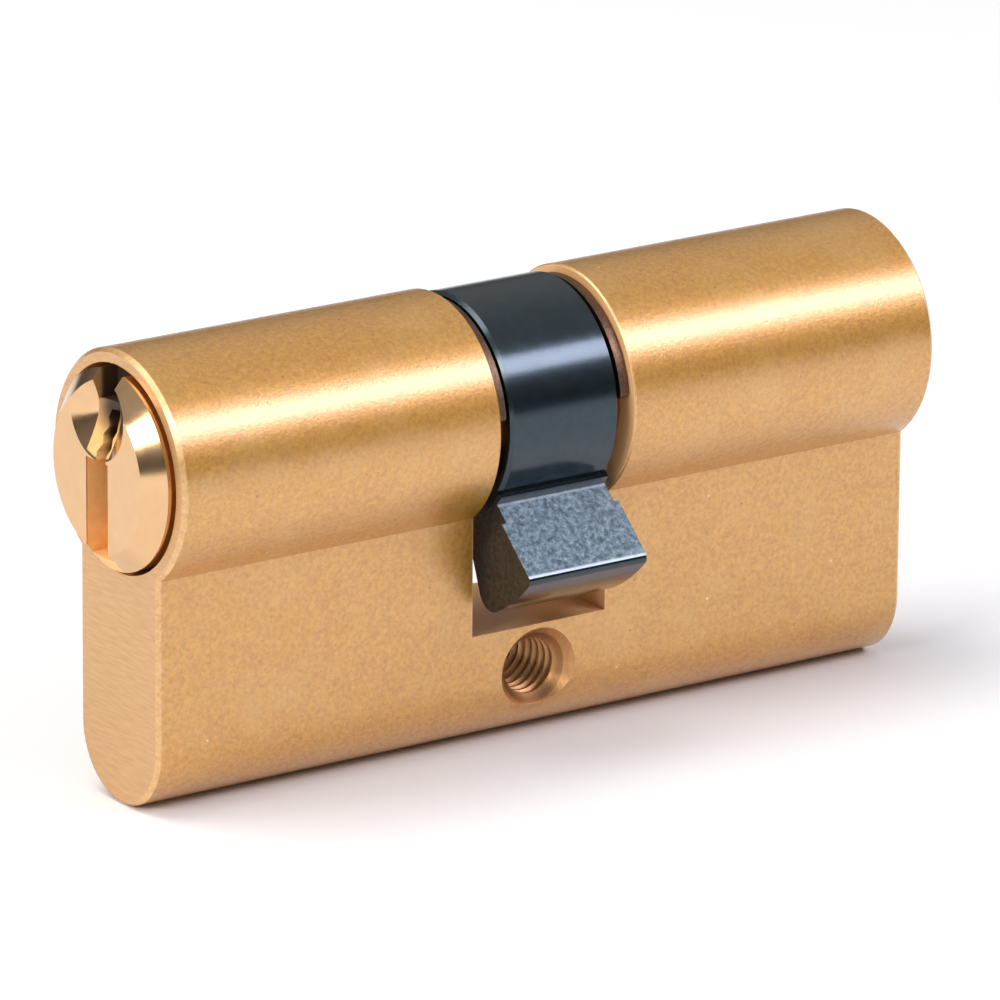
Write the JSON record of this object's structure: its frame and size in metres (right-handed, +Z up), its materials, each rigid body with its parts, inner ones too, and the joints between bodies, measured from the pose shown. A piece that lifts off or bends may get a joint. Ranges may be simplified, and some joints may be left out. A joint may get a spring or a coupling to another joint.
{
  "type": "euro profile cylinder lock",
  "caption": "Double-sided door lock cylinder: a profiled brass body with a keyed plug at each end and a dark rotating cam in the middle slot.",
  "frame": {"origin": "centre of the fixing-screw hole, in the middle of the web", "axes": "+X along the cylinder from end A to end B, +Y along the fixing screw, +Z up from the web towards the plugs"},
  "size_m": [0.0674, 0.0196, 0.033],
  "materials": {
    "body_brass": "satin, fine grained, as extruded and blasted",
    "plug_brass": "turned and polished",
    "pin_brass": "turned",
    "blackened_steel": "blackened sintered steel, smooth ring and granular lug flank",
    "clip_steel": "stamped spring steel",
    "spring_steel": "drawn wire",
    "clutch_steel": "sintered, zinc plated"
  },
  "bodies": {
    "housing": {"housing": "body_brass", "chamber_cap_a1": "body_brass", "chamber_cap_a2": "body_brass", "chamber_cap_a3": "body_brass", "chamber_cap_a4": "body_brass", "chamber_cap_a5": "body_brass", "chamber_cap_b1": "body_brass", "chamber_cap_b2": "body_brass", "chamber_cap_b3": "body_brass", "chamber_cap_b4": "body_brass", "chamber_cap_b5": "body_brass", "spring_a1": "spring_steel", "spring_a2": "spring_steel", "spring_a3": "spring_steel", "spring_a4": "spring_steel", "spring_a5": "spring_steel", "spring_b1": "spring_steel", "spring_b2": "spring_steel", "spring_b3": "spring_steel", "spring_b4": "spring_steel", "spring_b5": "spring_steel"},
    "plug_a": {"plug_a": "plug_brass", "retaining_clip_a": "clip_steel"},
    "plug_b": {"plug_b": "plug_brass", "retaining_clip_b": "clip_steel"},
    "cam": {"cam": "blackened_steel"},
    "clutch_a": {"clutch_dog_a": "clutch_steel", "clutch_rivet": "clutch_steel"},
    "clutch_b": {"clutch_dog_b": "clutch_steel"},
    "key_pin_a1": {"key_pin_a1": "pin_brass"},
    "driver_a1": {"driver_pin_a1": "pin_brass"},
    "key_pin_a2": {"key_pin_a2": "pin_brass"},
    "driver_a2": {"driver_pin_a2": "pin_brass"},
    "key_pin_a3": {"key_pin_a3": "pin_brass"},
    "driver_a3": {"driver_pin_a3": "pin_brass"},
    "key_pin_a4": {"key_pin_a4": "pin_brass"},
    "driver_a4": {"driver_pin_a4": "pin_brass"},
    "key_pin_a5": {"key_pin_a5": "pin_brass"},
    "driver_a5": {"driver_pin_a5": "pin_brass"},
    "key_pin_b1": {"key_pin_b1": "pin_brass"},
    "driver_b1": {"driver_pin_b1": "pin_brass"},
    "key_pin_b2": {"key_pin_b2": "pin_brass"},
    "driver_b2": {"driver_pin_b2": "pin_brass"},
    "key_pin_b3": {"key_pin_b3": "pin_brass"},
    "driver_b3": {"driver_pin_b3": "pin_brass"},
    "key_pin_b4": {"key_pin_b4": "pin_brass"},
    "driver_b4": {"driver_pin_b4": "pin_brass"},
    "key_pin_b5": {"key_pin_b5": "pin_brass"},
    "driver_b5": {"driver_pin_b5": "pin_brass"}
  },
  "joints": [
    {"name": "plug_a_turn", "type": "hinge", "parent": "housing", "child": "plug_a", "pos_m": [0, 0, 0.0192], "axis": [1, 0, 0], "continuous": true},
    {"name": "plug_b_turn", "type": "hinge", "parent": "housing", "child": "plug_b", "pos_m": [0, 0, 0.0192], "axis": [1, 0, 0], "continuous": true},
    {"name": "cam_turn", "type": "hinge", "parent": "housing", "child": "cam", "pos_m": [0, 0, 0.0192], "axis": [1, 0, 0], "continuous": true},
    {"name": "clutch_slide_a", "type": "slide", "parent": "plug_a", "child": "clutch_a", "axis": [-1, 0, 0], "range_m": [0, 0.0016]},
    {"name": "clutch_slide_b", "type": "slide", "parent": "plug_b", "child": "clutch_b", "axis": [-1, 0, 0], "range_m": [0, 0.0016]},
    {"name": "key_pin_slide_a1", "type": "slide", "parent": "plug_a", "child": "key_pin_a1", "axis": [0, 0, 1], "range_m": [0, 0.00255]},
    {"name": "driver_slide_a1", "type": "slide", "parent": "housing", "child": "driver_a1", "axis": [0, 0, 1], "range_m": [-0.002, 0], "stiffness_N_per_m": 100, "springref_m": 0.003, "deforming": ["spring_a1"]},
    {"name": "key_pin_slide_a2", "type": "slide", "parent": "plug_a", "child": "key_pin_a2", "axis": [0, 0, 1], "range_m": [0, 0.00175]},
    {"name": "driver_slide_a2", "type": "slide", "parent": "housing", "child": "driver_a2", "axis": [0, 0, 1], "range_m": [-0.002, 0], "stiffness_N_per_m": 100, "springref_m": 0.003, "deforming": ["spring_a2"]},
    {"name": "key_pin_slide_a3", "type": "slide", "parent": "plug_a", "child": "key_pin_a3", "axis": [0, 0, 1], "range_m": [0, 0.00295]},
    {"name": "driver_slide_a3", "type": "slide", "parent": "housing", "child": "driver_a3", "axis": [0, 0, 1], "range_m": [-0.002, 0], "stiffness_N_per_m": 100, "springref_m": 0.003, "deforming": ["spring_a3"]},
    {"name": "key_pin_slide_a4", "type": "slide", "parent": "plug_a", "child": "key_pin_a4", "axis": [0, 0, 1], "range_m": [0, 0.00115]},
    {"name": "driver_slide_a4", "type": "slide", "parent": "housing", "child": "driver_a4", "axis": [0, 0, 1], "range_m": [-0.002, 0], "stiffness_N_per_m": 100, "springref_m": 0.003, "deforming": ["spring_a4"]},
    {"name": "key_pin_slide_a5", "type": "slide", "parent": "plug_a", "child": "key_pin_a5", "axis": [0, 0, 1], "range_m": [0, 0.00215]},
    {"name": "driver_slide_a5", "type": "slide", "parent": "housing", "child": "driver_a5", "axis": [0, 0, 1], "range_m": [-0.002, 0], "stiffness_N_per_m": 100, "springref_m": 0.003, "deforming": ["spring_a5"]},
    {"name": "key_pin_slide_b1", "type": "slide", "parent": "plug_b", "child": "key_pin_b1", "axis": [0, 0, 1], "range_m": [0, 0.00255]},
    {"name": "driver_slide_b1", "type": "slide", "parent": "housing", "child": "driver_b1", "axis": [0, 0, 1], "range_m": [-0.002, 0], "stiffness_N_per_m": 100, "springref_m": 0.003, "deforming": ["spring_b1"]},
    {"name": "key_pin_slide_b2", "type": "slide", "parent": "plug_b", "child": "key_pin_b2", "axis": [0, 0, 1], "range_m": [0, 0.00175]},
    {"name": "driver_slide_b2", "type": "slide", "parent": "housing", "child": "driver_b2", "axis": [0, 0, 1], "range_m": [-0.002, 0], "stiffness_N_per_m": 100, "springref_m": 0.003, "deforming": ["spring_b2"]},
    {"name": "key_pin_slide_b3", "type": "slide", "parent": "plug_b", "child": "key_pin_b3", "axis": [0, 0, 1], "range_m": [0, 0.00295]},
    {"name": "driver_slide_b3", "type": "slide", "parent": "housing", "child": "driver_b3", "axis": [0, 0, 1], "range_m": [-0.002, 0], "stiffness_N_per_m": 100, "springref_m": 0.003, "deforming": ["spring_b3"]},
    {"name": "key_pin_slide_b4", "type": "slide", "parent": "plug_b", "child": "key_pin_b4", "axis": [0, 0, 1], "range_m": [0, 0.00115]},
    {"name": "driver_slide_b4", "type": "slide", "parent": "housing", "child": "driver_b4", "axis": [0, 0, 1], "range_m": [-0.002, 0], "stiffness_N_per_m": 100, "springref_m": 0.003, "deforming": ["spring_b4"]},
    {"name": "key_pin_slide_b5", "type": "slide", "parent": "plug_b", "child": "key_pin_b5", "axis": [0, 0, 1], "range_m": [0, 0.00215]},
    {"name": "driver_slide_b5", "type": "slide", "parent": "housing", "child": "driver_b5", "axis": [0, 0, 1], "range_m": [-0.002, 0], "stiffness_N_per_m": 100, "springref_m": 0.003, "deforming": ["spring_b5"]}
  ],
  "couplings": [
    {"joint": "cam_turn", "follows": "plug_a_turn", "ratio": 1},
    {"joint": "clutch_slide_b", "follows": "clutch_slide_a", "ratio": 1}
  ]
}
